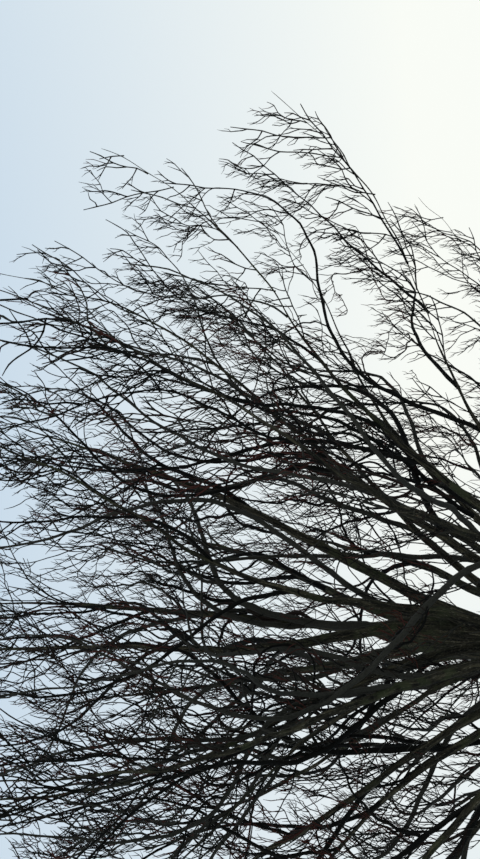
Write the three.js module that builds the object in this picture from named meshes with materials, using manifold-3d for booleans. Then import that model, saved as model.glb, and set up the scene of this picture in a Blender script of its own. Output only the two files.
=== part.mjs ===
// A bare winter tree: a short thick trunk that forks low into many rising boughs, which
// carry an egg-shaped crown of leafless twigs.
//
// Millimetres, +Z up. The origin is the middle of the flat cut under the trunk, at ground
// level. Every limb is grown: it starts on its parent, takes one small turn at each node
// and leans up towards the light, until its length is used up or it reaches the edge of
// the crown. Each mass of twigs keeps to the space round its own stem.

import * as THREE from 'three';
import { mergeVertices } from 'three/addons/utils/BufferGeometryUtils.js';
import Module from 'manifold-3d';

const wasm = await Module();
wasm.setup();

const { degToRad } = THREE.MathUtils;

// The crown: an egg round the trunk's axis, widest above the fork. shape is 2 for an even
// egg and less for one with narrower shoulders.
const CROWN = { top: 12000, widestAt: 4600, underside: 2400, reach: 6600, shape: 1.6 };
const CROWN_HEART = new THREE.Vector3(0, 0, 1300);

// The trunk: a bole with a root flare, and above its fork the thinner leader
const BOLE = { radius: 385, taper: 0.043, forkHeight: 3900, forkBlend: 500 };
const FLARE = { height: 900, extra: 90, lobes: 5, lobeDepth: 0.09 };
const TRUNK = { sides: 24, rings: 13, crowding: 1.4 };
const LEADER = {
  radius: 72, length: 8000, fade: 1.1, nodes: 30, endNode: 15, reach: 0.99,
  lean: 6, azimuth: 153, liveliness: 0.3, bend: [[0, 0], [0.3, 0.3], [1, 1]],
};

// The boughs, in tiers from the outermost to the innermost. spread is the angle from
// upright, and bend gives its share at places along the bough, from foot to tip.
const TIERS = [
  { count: 9, spread: 68, vary: 5, lowFoot: 950, highFoot: 1600, turn: -44, stout: 1.1,
    bend: [[0, 0.50], [0.25, 0.80], [0.65, 1.12], [1, 0.55]] },
  { count: 8, spread: 52, vary: 6, lowFoot: 1100, highFoot: 1900, turn: -24, stout: 1,
    bend: [[0, 0.55], [0.25, 0.88], [0.65, 1.12], [1, 0.60]] },
  { count: 7, spread: 37, vary: 6, lowFoot: 1300, highFoot: 2600, turn: -39, stout: 1,
    bend: [[0, 0.70], [0.25, 0.98], [0.65, 1.08], [1, 0.74]] },
  { count: 4, spread: 20, vary: 4, lowFoot: 3000, highFoot: 3900, turn: -14, stout: 1.15,
    bend: [[0, 1.00], [0.25, 1.05], [0.70, 1.00], [1, 0.80]] },
];
const BOUGH = {
  nodes: 26, endNode: 12, thickness: 0.0065, taper: 1.35, tip: 4, reach: [0.9455, 0.99],
  turnVary: 12, footStep: 0.618, sides: 6, ringEvery: 2,
};

// How a limb's line sways from side to side, and kinks a little at each node
const SWAY = { tilt: 7, tiltWaves: 7, veer: 14, veerWaves: 4, quiver: 8, quiverWaves: 12, steady: 0.6 };
const KINK = { least: 2, most: 12, first: 0.6, last: 0.8, rollVary: 0.5 };
const STEP_SEARCH = { shortest: 50, longest: 3000, halvings: 40 };

// The twigs, by level: the first grow from a mass's stem, the next ones from those.
// strong gives a share of the parent's length that is left, weak a length, and spare is
// added to both. dropped is the share of nodes left bare, inside the crown and in its shell.
const TWIG_LEVELS = {
  2: { first: 0.22, strong: [0.75, 1.05], weak: [300, 1100], spare: 300, strongShare: 0.4,
       dropped: [0.15, 0.1], angle: [24, 42], lift: 0.035, wander: 14, sway: 0.16, waves: 8,
       node: 180, rings: 2, tip: 6.5, least: 0 },
  3: { first: 0.08, strong: [0.45, 0.85], weak: [100, 450], spare: 160, strongShare: 0.25,
       dropped: [0.4, 0.15], angle: [27, 45], lift: 0.07, wander: 26, sway: 0.3, waves: 7,
       node: 110, rings: 2, tip: 5.5, least: 8 },
};
// How much of the shell's share counts, from the crown's middle to its edge
const SHELL = [[0, 0], [0.3, 0], [0.75, 1], [1, 0.8]];
const TWIG = {
  thickness: 0.0066, taper: 0.8, leastNodes: 3, weakMost: 0.9, strongCap: 0.62, weakCap: 0.42,
  strongAngle: 0.8, weakAngle: 1.15, leastRise: -0.3, sides: 3, rollVary: 0.6,
  leastWander: 0.2, firstLift: 0.5, lastLift: 1.2, pastParent: 0.02,
};
const CROWN_EDGE = { inner: 0.89, vary: 0.13, past: 0.04 };
const INWARD = { facing: 0.5, least: 0.25 };
const STEM = { sides: 5, ringEvery: 2 };
const MASS = { firstTwigs: 14, allTwigs: 25 };

// Room between solids
const GAP = 0.3;
const CLEARANCE = 4;
const SAMPLE_STEP = 60;
const BURIED_ROOT = 2;

const ALLOMETRY = 1.2;
const METRE = 1000;
const GOLDEN_ANGLE = degToRad(137.508);
const FULL_TURN = 2 * Math.PI;
const UP = new THREE.Vector3(0, 0, 1);

// What a row of seeded numbers is for
const ROW = { limb: 1, tier: 5, twigs: 9 };

const BARK = new THREE.MeshStandardMaterial({ color: 0x4a453b, roughness: 0.85, metalness: 0 });
const TWIG_BARK = new THREE.MeshStandardMaterial({ color: 0x302620, roughness: 0.8, metalness: 0 });

/** Seeded numbers. Each limb and twig draws from a row of its own, named by its key. */
class Dice {
  static MODULUS = 2147483647;
  static FACTOR = 48271;
  static KEY_FACTOR = 69621;
  static START = 12861;
  static WARM_UP = 4;

  constructor(...key) {
    this.state = Dice.START;
    for (const part of key) {
      const mixed = this.state * Dice.FACTOR + (part + 1) * Dice.KEY_FACTOR;
      this.state = mixed % Dice.MODULUS;
    }
    this.state = this.state || 1;
    for (let draw = 0; draw < Dice.WARM_UP; draw += 1) this.next();
  }

  next() {
    this.state = (this.state * Dice.FACTOR) % Dice.MODULUS;
    return this.state / Dice.MODULUS;
  }

  between(low, high) {
    return low + (high - low) * this.next();
  }
}

/** How far out a point lies in the crown: 0 in its middle, 1 on its edge. */
function crownShare(point) {
  const rise = point.z - CROWN.widestAt;
  const half = rise >= 0 ? CROWN.top - CROWN.widestAt : CROWN.widestAt - CROWN.underside;
  const power = rise >= 0 ? CROWN.shape : 2;
  const across = Math.hypot(point.x, point.y) / CROWN.reach;
  return (across ** power + Math.abs(rise / half) ** power) ** (1 / power);
}

/** A unit vector across a heading; at roll 0 it points to the limb's upper side. */
function sideOf(heading, roll) {
  const upper = UP.clone().addScaledVector(heading, -UP.dot(heading));
  if (upper.lengthSq() < 1e-6) upper.set(1, 0, 0).addScaledVector(heading, -heading.x);
  upper.normalize();
  const across = heading.clone().cross(upper);
  return upper.multiplyScalar(Math.cos(roll)).addScaledVector(across, Math.sin(roll));
}

/** The value of a profile of [place, value] pairs at a place from 0 to 1. */
function profileAt(profile, place) {
  for (let i = 1; i < profile.length; i += 1) {
    const [start, low] = profile[i - 1];
    const [end, high] = profile[i];
    if (place <= end) return low + ((high - low) * (place - start)) / (end - start);
  }
  return profile[profile.length - 1][1];
}

/** A limb's radius at its start, from its length: a longer limb is stouter. */
function radiusFor(length, thickness) {
  return METRE * thickness * (length / METRE) ** ALLOMETRY;
}

/** What the root flare adds to the trunk's radius at a height. */
function flareAt(height) {
  return height < FLARE.height ? FLARE.extra * (1 - height / FLARE.height) ** 2 : 0;
}

/** The trunk's radius at a height: root flare, slow taper, then the leader. */
function trunkRadius(height) {
  let radius = BOLE.radius - BOLE.taper * height;
  const above = height - BOLE.forkHeight;
  if (above > 0) {
    const blend = Math.min(1, above / BOLE.forkBlend);
    const left = Math.max(0, 1 - above / LEADER.length);
    radius = radius * (1 - blend) + LEADER.radius * left ** LEADER.fade * blend;
  }
  return Math.max(BOUGH.tip, radius + flareAt(height));
}

/** Bends a heading aside, away from the side where the node's twig leaves. */
function kinkAway(heading, roll, degrees) {
  heading.addScaledVector(sideOf(heading, roll), -Math.tan(degToRad(degrees))).normalize();
}

/** The length of one step with which a line from a start reaches a share of the crown. */
function stepToReach(start, lineEnd, reach) {
  let { shortest, longest } = STEP_SEARCH;
  for (let halving = 0; halving < STEP_SEARCH.halvings; halving += 1) {
    const middle = (shortest + longest) / 2;
    const tip = start.clone().addScaledVector(lineEnd, middle);
    if (crownShare(tip) < reach) shortest = middle;
    else longest = middle;
  }
  return (shortest + longest) / 2;
}

/** Grows the line of a bough or the leader, from its foot to the edge of the crown. */
function growLimb({ number, azimuth, spread, foot, reach, bend, nodes, liveliness = 1 }) {
  const dice = new Dice(ROW.limb, number);
  const phases = [dice.next(), dice.next(), dice.next()].map((share) => FULL_TURN * share);
  const drift = Math.min(1, SWAY.steady / Math.sin(spread));
  const headings = [];
  const rolls = [];
  const line = [new THREE.Vector3()];
  let roll = dice.next() * FULL_TURN;
  for (let i = 0; i < nodes; i += 1) {
    const place = (i + 0.5) / nodes;
    const tilt = spread * profileAt(bend, place)
      + liveliness * degToRad(SWAY.tilt) * Math.sin(SWAY.tiltWaves * place + phases[0]);
    const veer = degToRad(SWAY.veer) * Math.sin(SWAY.veerWaves * place + phases[1])
      + degToRad(SWAY.quiver) * Math.sin(SWAY.quiverWaves * place + phases[2]);
    const bearing = azimuth + veer * drift;
    const heading = new THREE.Vector3(
      Math.sin(tilt) * Math.cos(bearing), Math.sin(tilt) * Math.sin(bearing), Math.cos(tilt));
    roll += GOLDEN_ANGLE + dice.between(-KINK.rollVary, KINK.rollVary);
    const kink = dice.between(KINK.least, KINK.most) * (KINK.first + KINK.last * place);
    kinkAway(heading, roll, kink * liveliness);
    headings.push(heading);
    rolls.push(roll);
    line.push(line[i].clone().add(heading));
  }
  const start = new THREE.Vector3(0, 0, foot);
  const step = stepToReach(start, line[nodes], reach);
  const points = line.map((point) => start.clone().addScaledVector(point, step));
  return { key: [ROW.limb, number], points, headings, rolls, length: step * nodes, reach };
}

/** Grows one bough of a tier. */
function growBough(tier, tierIndex, place, number) {
  const dice = new Dice(ROW.tier, tierIndex, place);
  const aside = dice.between(-BOUGH.turnVary, BOUGH.turnVary);
  const spread = degToRad(tier.spread + dice.between(-tier.vary, tier.vary));
  const bough = growLimb({
    number,
    azimuth: degToRad(tier.turn + (360 * place) / tier.count + aside),
    spread,
    foot: tier.lowFoot + (tier.highFoot - tier.lowFoot) * ((place * BOUGH.footStep) % 1),
    reach: dice.between(...BOUGH.reach),
    bend: tier.bend,
    nodes: BOUGH.nodes,
  });
  const thickest = tier.stout * radiusFor(bough.length, BOUGH.thickness);
  bough.radii = bough.points.map((_, node) => (
    Math.max(BOUGH.tip, thickest * (1 - node / BOUGH.nodes) ** BOUGH.taper)));
  bough.endNode = BOUGH.endNode;
  return bough;
}

/** Grows the leader, whose line is the trunk's own. */
function growLeader(number) {
  const leader = growLimb({
    ...LEADER, number, azimuth: degToRad(LEADER.azimuth), spread: degToRad(LEADER.lean), foot: 0,
  });
  leader.radii = leader.points.map((point) => trunkRadius(point.z));
  leader.endNode = LEADER.endNode;
  return leader;
}

/** All the limbs: the tiers of boughs, then the leader. */
function growLimbs() {
  const limbs = [];
  TIERS.forEach((tier, tierIndex) => {
    for (let place = 0; place < tier.count; place += 1) {
      limbs.push(growBough(tier, tierIndex, place, limbs.length));
    }
  });
  limbs.push(growLeader(limbs.length));
  return limbs;
}

/** Grows one side twig of a parent at one of its nodes, or null where it has no room. */
function growTwig(parent, node, level, wanted, isStrong) {
  const rule = TWIG_LEVELS[level];
  const key = [...parent.key, node];
  const dice = new Dice(...key);
  const origin = parent.points[node];
  const opening = dice.between(...rule.angle) * (isStrong ? TWIG.strongAngle : TWIG.weakAngle);
  const leavesBelow = Math.cos(parent.rolls[node]) < TWIG.leastRise;
  const side = sideOf(parent.headings[node], parent.rolls[node] + (leavesBelow ? Math.PI : 0));
  const heading = parent.headings[node].clone().multiplyScalar(Math.cos(degToRad(opening)))
    .addScaledVector(side, Math.sin(degToRad(opening))).normalize();
  let length = wanted;
  let reach = parent.reach + TWIG.pastParent;
  if (level === 2) {
    const outward = heading.dot(origin.clone().sub(CROWN_HEART).normalize());
    length *= Math.max(INWARD.least, Math.min(1, outward / INWARD.facing));
    const drawn = CROWN_EDGE.inner + CROWN_EDGE.vary * dice.next();
    reach = Math.max(drawn, crownShare(origin) + CROWN_EDGE.past);
  }
  const nodes = Math.max(TWIG.leastNodes, Math.floor(length / rule.node + 0.5));
  const step = length / nodes;
  const points = [origin];
  const headings = [];
  const rolls = [];
  let roll = dice.next() * FULL_TURN;
  const [aside, phase] = [dice.next() * FULL_TURN, dice.next() * FULL_TURN];
  for (let i = 0; i < nodes; i += 1) {
    const place = (i + 0.5) / nodes;
    const sway = rule.sway * Math.sin(rule.waves * place + phase);
    const bend = sway * Math.min(1, step / rule.node);
    heading.addScaledVector(sideOf(heading, aside), bend).normalize();
    const lift = rule.lift * (TWIG.firstLift + TWIG.lastLift * place * place);
    heading.addScaledVector(UP, lift * Math.min(1, step / rule.node)).normalize();
    roll += GOLDEN_ANGLE + dice.between(-TWIG.rollVary, TWIG.rollVary);
    kinkAway(heading, roll, dice.between(TWIG.leastWander, 1) * rule.wander);
    const next = points[i].clone().addScaledVector(heading, step);
    if (crownShare(next) > reach) break;
    headings.push(heading.clone());
    rolls.push(roll);
    points.push(next);
  }
  const last = headings.length;
  if (last < TWIG.leastNodes - 1) return null;
  const cap = parent.radii[node] * (isStrong ? TWIG.strongCap : TWIG.weakCap);
  const thickest = Math.max(rule.least, Math.min(radiusFor(length, TWIG.thickness), cap));
  const radii = points.map((_, i) => Math.max(rule.tip, thickest * (1 - i / last) ** TWIG.taper));
  return { key, points, headings, rolls, radii, reach, length: step * last };
}

/** The side twigs that the rule gives a parent, from one of its nodes on. */
function growTwigs(parent, level, firstNode) {
  const rule = TWIG_LEVELS[level];
  const count = parent.headings.length;
  const twigs = [];
  for (let node = firstNode; node < count; node += 1) {
    const place = node / count;
    const dice = new Dice(ROW.twigs, ...parent.key, node);
    const [kept, picked, vary] = [dice.next(), dice.next(), dice.next()];
    const [inner, outer] = rule.dropped;
    const share = profileAt(SHELL, Math.min(1, crownShare(parent.points[node])));
    if (place < rule.first || kept < inner + (outer - inner) * share) continue;
    const isStrong = picked < rule.strongShare;
    const left = parent.length * (1 - place);
    const [low, high] = isStrong ? rule.strong : rule.weak;
    const drawn = low + (high - low) * vary;
    const length = isStrong ? left * drawn : Math.min(drawn, left * TWIG.weakMost);
    const twig = growTwig(parent, node, level, length + rule.spare, isStrong);
    if (twig) twigs.push(twig);
  }
  return twigs;
}

/** A limb's run from one node to another as rings: where each lies, faces and how wide. */
function runOf(limb, from, to, steps) {
  const nodes = [];
  for (let i = 0; i <= steps; i += 1) nodes.push(Math.round(from + ((to - from) * i) / steps));
  const facingAt = (node) => {
    const before = limb.points[Math.max(0, node - 1)];
    const after = limb.points[Math.min(limb.points.length - 1, node + 1)];
    return after.clone().sub(before).normalize();
  };
  return {
    points: nodes.map((node) => limb.points[node].clone()),
    facings: nodes.map(facingAt),
    radii: nodes.map((node) => limb.radii[node]),
  };
}

/** The trunk's rings: level at the ground, square to the leader at the top. */
function trunkRun(leader) {
  const { facings: [topFacing] } = runOf(leader, leader.endNode, leader.endNode, 1);
  const run = { points: [], facings: [], radii: [], lobes: [] };
  for (let ring = 0; ring <= TRUNK.rings; ring += 1) {
    const share = (ring / TRUNK.rings) ** TRUNK.crowding;
    const along = share * leader.endNode;
    const node = Math.min(leader.endNode - 1, Math.floor(along));
    const point = leader.points[node].clone().lerp(leader.points[node + 1], along - node);
    run.points.push(point);
    run.facings.push(UP.clone().lerp(topFacing, share).normalize());
    run.radii.push(trunkRadius(point.z));
    run.lobes.push((FLARE.lobeDepth * flareAt(point.z)) / FLARE.extra);
  }
  return run;
}

/** The surface round a run of rings, made by setting out a cylinder's rings along it. */
function limbGeometry(run, { sides, pointed = false, swell = 0 }) {
  const last = run.points.length - 1;
  const cylinder = new THREE.CylinderGeometry(pointed ? 0 : 1, 1, 1, sides, last);
  cylinder.deleteAttribute('normal');
  cylinder.deleteAttribute('uv');
  const geometry = mergeVertices(cylinder);
  const place = geometry.getAttribute('position');
  const across = [sideOf(run.facings[0], 0)];
  for (let ring = 1; ring <= last; ring += 1) {
    const facing = run.facings[ring];
    const carried = across[ring - 1].clone();
    across.push(carried.addScaledVector(facing, -carried.dot(facing)).normalize());
  }
  const corner = new THREE.Vector3();
  for (let i = 0; i < place.count; i += 1) {
    corner.fromBufferAttribute(place, i);
    const ring = Math.round((corner.y + 0.5) * last);
    const isOnRim = Math.hypot(corner.x, corner.z) > 0;
    const angle = Math.atan2(corner.z, corner.x);
    const lobe = run.lobes ? 1 + run.lobes[ring] * Math.cos(FLARE.lobes * angle) : 1;
    const radius = isOnRim ? run.radii[ring] * lobe + swell : 0;
    const other = across[ring].clone().cross(run.facings[ring]);
    corner.copy(run.points[ring])
      .addScaledVector(across[ring], radius * Math.cos(angle))
      .addScaledVector(other, radius * Math.sin(angle));
    place.setXYZ(i, corner.x, corner.y, corner.z);
  }
  return geometry;
}

/** A closed geometry as a solid that can be joined and cut. */
function solidOf(geometry) {
  return new wasm.Manifold(new wasm.Mesh({
    numProp: 3,
    vertProperties: Float32Array.from(geometry.getAttribute('position').array),
    triVerts: Uint32Array.from(geometry.getIndex().array),
  }));
}

/** The solid of a run, swollen by the gap: what its neighbours are cut back with. */
function cutterOf(run, sides) {
  return solidOf(limbGeometry(run, { sides, swell: GAP / Math.cos(Math.PI / sides) }));
}

/** A solid as a named mesh; a scrap that a cut left loose is dropped. */
function meshOf(name, solid, material) {
  const bodies = solid.decompose().sort((one, other) => other.volume() - one.volume());
  const { vertProperties, triVerts } = bodies[0].getMesh();
  const geometry = new THREE.BufferGeometry();
  geometry.setAttribute('position', new THREE.BufferAttribute(vertProperties, 3));
  geometry.setIndex(new THREE.BufferAttribute(triVerts, 1));
  geometry.computeVertexNormals();
  const mesh = new THREE.Mesh(geometry, material);
  mesh.name = name;
  return mesh;
}

/** The straight pieces of a run of rings, for measuring how near a point comes to it. */
function segmentsOf(run) {
  return run.points.slice(1).map((end, i) => ({
    line: new THREE.Line3(run.points[i], end),
    radius: Math.max(run.radii[i], run.radii[i + 1]),
  }));
}

/** The room left between a point and the skin of a limb, given as segments. */
function roomTo(segments, point, nearest = new THREE.Vector3()) {
  let room = Infinity;
  for (const { line, radius } of segments) {
    line.closestPointToPoint(point, true, nearest);
    room = Math.min(room, nearest.distanceTo(point) - radius);
  }
  return room;
}

/** Points along a run of rings, close enough together to stand for all of it. */
function samplesOf(run) {
  const samples = [];
  for (let i = 1; i < run.points.length; i += 1) {
    const parts = Math.ceil(run.points[i].distanceTo(run.points[i - 1]) / SAMPLE_STEP);
    for (let part = 1; part <= parts; part += 1) {
      const share = part / parts;
      samples.push({
        point: run.points[i - 1].clone().lerp(run.points[i], share),
        radius: run.radii[i - 1] + (run.radii[i] - run.radii[i - 1]) * share,
      });
    }
  }
  return samples;
}

/** Whether two runs of rings come near enough to need a cut. */
function areNear(run, other) {
  const segments = segmentsOf(other);
  return samplesOf(run).some(({ point, radius }) => roomTo(segments, point) < radius + CLEARANCE);
}

/** The space of one mass: clear of every limb, and nearer its own stem than any other. */
class Space {
  constructor(index, stems, limbs) {
    this.stem = stems[index];
    this.otherStems = stems.filter((_, other) => other !== index);
    this.limbs = limbs;
  }

  holdsPoint({ point, radius }) {
    const room = radius + CLEARANCE;
    const toStem = Math.max(0, roomTo(this.stem, point));
    return this.otherStems.every((other) => roomTo(other, point) >= toStem + 2 * room)
      && this.limbs.every((limb) => roomTo(limb, point) > room);
  }

  holdsTwig(run) {
    const buried = BURIED_ROOT * run.radii[0];
    return samplesOf(run)
      .filter(({ point }) => point.distanceTo(run.points[0]) > buried)
      .every((sample) => this.holdsPoint(sample));
  }
}

const limbs = growLimbs();
const leader = limbs[limbs.length - 1];
const trunk = trunkRun(leader);
const boughs = limbs.slice(0, -1).map((limb) => (
  runOf(limb, 0, limb.endNode, limb.endNode / BOUGH.ringEvery)));
const stems = limbs.map((limb) => {
  const end = limb.points.length - 1;
  const run = runOf(limb, limb.endNode, end, Math.ceil((end - limb.endNode) / STEM.ringEvery));
  run.points[0].addScaledVector(run.facings[0], GAP);
  return run;
});
const limbSegments = [...boughs, trunk].map(segmentsOf);
const stemSegments = stems.map(segmentsOf);

/** The trunk, from the flat cut at the ground to where the top mass of twigs begins. */
function makeTrunk() {
  return meshOf('trunk', solidOf(limbGeometry(trunk, { sides: TRUNK.sides })), BARK);
}

/** A bough, its foot cut clear of the trunk and of the boughs made before it. */
function makeBough(run, index) {
  let solid = solidOf(limbGeometry(run, { sides: BOUGH.sides }));
  solid = solid.subtract(cutterOf(trunk, TRUNK.sides));
  for (const earlier of boughs.slice(0, index)) {
    if (areNear(run, earlier)) solid = solid.subtract(cutterOf(earlier, BOUGH.sides));
  }
  return meshOf(`bough_${String(index + 1).padStart(2, '0')}`, solid, BARK);
}

/** Picks the twigs that widen a mass most: each time the tip furthest from what it holds. */
function pickWidest(candidates, held, most) {
  const left = candidates.map(({ twig, run }) => {
    const tip = run.points[run.points.length - 1];
    return { twig, run, tip, room: roomTo(held, tip) };
  });
  const picked = [];
  while (picked.length < most && left.length > 0) {
    left.sort((one, other) => other.room - one.room);
    const widest = left.shift();
    const segments = segmentsOf(widest.run);
    for (const other of left) other.room = Math.min(other.room, roomTo(segments, other.tip));
    picked.push(widest);
  }
  return picked;
}

/** The twigs of a mass as runs of rings: those of both levels that keep to its space. */
function twigRuns(limb, stem, space) {
  const asRings = (twig, level) => {
    const last = twig.points.length - 1;
    return { twig, run: runOf(twig, 0, last, Math.min(last, TWIG_LEVELS[level].rings)) };
  };
  const fitting = (twigs, level) => twigs
    .map((twig) => asRings(twig, level))
    .filter(({ run }) => space.holdsTwig(run));
  const twigs = growTwigs(limb, 2, limb.endNode + 1);
  const first = pickWidest(fitting(twigs, 2), stem, MASS.firstTwigs);
  const finer = fitting(first.flatMap(({ twig }) => growTwigs(twig, 3, 1)), 3);
  const held = [...stem, ...first.flatMap(({ run }) => segmentsOf(run))];
  const next = pickWidest(finer, held, MASS.allTwigs - first.length);
  return [...first, ...next].map(({ run }) => run);
}

/** A mass of twigs on one stem, each twig's root sunk to the middle of its parent. */
function makeMass(run, index) {
  const space = new Space(index, stemSegments, limbSegments);
  let solid = solidOf(limbGeometry(run, { sides: STEM.sides }));
  for (const twig of twigRuns(limbs[index], stemSegments[index], space)) {
    solid = solid.add(solidOf(limbGeometry(twig, { sides: TWIG.sides, pointed: true })));
  }
  for (const earlier of stems.slice(0, index)) {
    if (areNear(run, earlier)) solid = solid.subtract(cutterOf(earlier, STEM.sides));
  }
  for (const bough of boughs.filter((_, other) => other !== index)) {
    if (areNear(run, bough)) solid = solid.subtract(cutterOf(bough, BOUGH.sides));
  }
  const name = limbs[index] === leader ? 'twigs_top' : `twigs_${String(index + 1).padStart(2, '0')}`;
  return meshOf(name, solid, TWIG_BARK);
}

const tree = new THREE.Group();
tree.name = 'bare_winter_tree';
tree.add(makeTrunk());
boughs.forEach((run, index) => tree.add(makeBough(run, index)));
stems.forEach((run, index) => tree.add(makeMass(run, index)));

export default tree;
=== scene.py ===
"""A bare winter tree: relief bark on its trunk and boughs, and a crown of fine leafless twigs.

The limbs and the first two levels of twigs are grown by the rule that made the solids, so they
lie where those lie. Two finer levels and the buds follow by the same rule, inside the same crown.
"""

from __future__ import annotations

import logging
import math
from collections import defaultdict
from collections.abc import Iterable, Sequence
from dataclasses import dataclass, field
from enum import Enum, IntEnum

import bpy
import numpy as np
from mathutils import Matrix, Vector


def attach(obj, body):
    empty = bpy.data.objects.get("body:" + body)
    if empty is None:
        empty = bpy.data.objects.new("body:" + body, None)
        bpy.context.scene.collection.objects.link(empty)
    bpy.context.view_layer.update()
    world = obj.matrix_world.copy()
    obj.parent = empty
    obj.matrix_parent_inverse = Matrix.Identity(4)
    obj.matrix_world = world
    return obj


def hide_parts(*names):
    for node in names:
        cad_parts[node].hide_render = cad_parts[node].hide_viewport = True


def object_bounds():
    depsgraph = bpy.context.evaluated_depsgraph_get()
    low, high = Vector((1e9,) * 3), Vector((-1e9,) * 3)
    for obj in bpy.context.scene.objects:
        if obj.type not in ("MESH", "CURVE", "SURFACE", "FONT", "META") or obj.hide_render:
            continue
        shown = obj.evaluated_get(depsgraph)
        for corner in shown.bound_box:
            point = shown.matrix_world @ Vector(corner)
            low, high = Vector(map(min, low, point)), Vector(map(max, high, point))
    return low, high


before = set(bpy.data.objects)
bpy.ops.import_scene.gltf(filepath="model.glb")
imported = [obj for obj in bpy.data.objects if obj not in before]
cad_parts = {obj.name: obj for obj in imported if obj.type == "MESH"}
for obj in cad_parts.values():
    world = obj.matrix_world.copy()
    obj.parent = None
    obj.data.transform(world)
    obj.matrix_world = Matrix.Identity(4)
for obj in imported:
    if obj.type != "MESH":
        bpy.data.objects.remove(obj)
SOLID_LOW, SOLID_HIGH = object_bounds()

LOG = logging.getLogger("bare_winter_tree")

Vec = tuple[float, float, float]
Span = tuple[float, float]
Profile = tuple[Span, ...]
RGBA = tuple[float, float, float, float]
Piece = bpy.types.Object
Material = bpy.types.Material
Socket = bpy.types.NodeSocket

BODY = "root"
UP: Vec = (0.0, 0.0, 1.0)
LEVEL_WAY: Vec = (1.0, 0.0, 0.0)
NEARLY_NOTHING = 1e-6
NEARLY_UPRIGHT = 0.9
CIRCLE_DEGREES = 360
FULL_TURN = 2.0 * math.pi
GOLDEN_ANGLE = math.radians(137.508)
LEAST_TURN = 1e-4
CELL_FACTORS = np.array([73856093, 19349663, 83492791])
BUD_GROUPS = 4


class Level(IntEnum):
    """How far a limb is from the trunk."""

    BOUGH = 1
    BRANCH = 2
    BRANCHLET = 3
    TWIG = 4
    SHOOT = 5


class Row(IntEnum):
    """What a row of seeded numbers is for."""

    LIMB = 1
    TIER = 5
    TWIGS = 9
    BUDS = 11


class Slot(Enum):
    """The record's material slots."""

    BARK = "bark"
    TWIGS = "twigs"


class Tint(IntEnum):
    """The tints of twig bark, in the order of their materials."""

    DARK = 0
    BROWN = 1
    GREY = 2
    RUSSET = 3


def along(start: Vec, way: Vec, far: float = 1.0) -> Vec:
    """Returns the point that lies far times way from start."""
    return (start[0] + way[0] * far, start[1] + way[1] * far, start[2] + way[2] * far)


def dot(one: Vec, other: Vec) -> float:
    """Returns the dot product."""
    return one[0] * other[0] + one[1] * other[1] + one[2] * other[2]


def cross(one: Vec, other: Vec) -> Vec:
    """Returns the cross product."""
    return (
        one[1] * other[2] - one[2] * other[1],
        one[2] * other[0] - one[0] * other[2],
        one[0] * other[1] - one[1] * other[0],
    )


def scaled(way: Vec, far: float) -> Vec:
    """Returns the vector times a number."""
    return (way[0] * far, way[1] * far, way[2] * far)


def unit(way: Vec) -> Vec:
    """Returns the vector at length 1."""
    length = math.sqrt(dot(way, way))
    return (way[0] / length, way[1] / length, way[2] / length)


def side_of(heading: Vec, roll: float) -> Vec:
    """A unit vector across a heading; at roll 0 it points to the limb's upper side.

    Args:
        heading: The limb's unit direction.
        roll: The turn about the heading, in radians.

    Returns:
        The unit vector across the heading.
    """
    upper = along(UP, heading, -dot(UP, heading))
    if dot(upper, upper) < NEARLY_NOTHING:
        upper = along(LEVEL_WAY, heading, -heading[0])
    upper = unit(upper)
    return along(scaled(upper, math.cos(roll)), cross(heading, upper), math.sin(roll))


def profile_at(profile: Profile, place: float) -> float:
    """Reads a profile of (place, value) pairs.

    Args:
        profile: The pairs, in order of place.
        place: Where to read it, from 0 to 1.

    Returns:
        The value between the two nearest pairs.
    """
    for (start, low), (end, high) in zip(profile, profile[1:]):
        if place <= end:
            return low + (high - low) * (place - start) / (end - start)
    return profile[-1][1]


class Dice:
    """Seeded numbers. Each limb and twig draws from a row of its own, named by its key."""

    MODULUS = 2147483647
    FACTOR = 48271
    KEY_FACTOR = 69621
    START = 12861
    WARM_UP = 4

    def __init__(self, *key: int) -> None:
        """Starts the row that a key names.

        Args:
            key: What the row is for, and the nodes that lead to the limb.
        """
        state = self.START
        for part in key:
            state = (state * self.FACTOR + (part + 1) * self.KEY_FACTOR) % self.MODULUS
        self.state = state or 1
        for _ in range(self.WARM_UP):
            self.draw()

    def draw(self) -> float:
        """Returns the next number from 0 to 1."""
        self.state = (self.state * self.FACTOR) % self.MODULUS
        return self.state / self.MODULUS

    def between(self, low: float, high: float) -> float:
        """Returns the next number, spread over a range."""
        return low + (high - low) * self.draw()


@dataclass(frozen=True)
class Crown:
    """The egg-shaped space of the crown, in metres."""

    top: float = 12.0
    widest_at: float = 4.6
    underside: float = 2.4
    reach: float = 6.6
    upper_shape: float = 1.6
    lower_shape: float = 2.0
    heart: Vec = (0.0, 0.0, 1.3)
    edge_inner: float = 0.89
    edge_vary: float = 0.13
    edge_past: float = 0.04

    def share(self, point: Vec) -> float:
        """Says how far out a point lies.

        Args:
            point: The point.

        Returns:
            0 in the crown's middle and 1 on its edge.
        """
        rise = point[2] - self.widest_at
        half = self.top - self.widest_at if rise >= 0 else self.widest_at - self.underside
        across = math.hypot(point[0], point[1]) / self.reach
        power = self.upper_shape if rise >= 0 else self.lower_shape
        return (across**power + abs(rise / half) ** power) ** (1.0 / power)


@dataclass(frozen=True)
class Tier:
    """One tier of boughs: spread is the angle from upright, bend its share along the bough."""

    count: int
    spread: float
    vary: float
    low_foot: float
    high_foot: float
    turn: float
    stout: float
    bend: Profile


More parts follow.
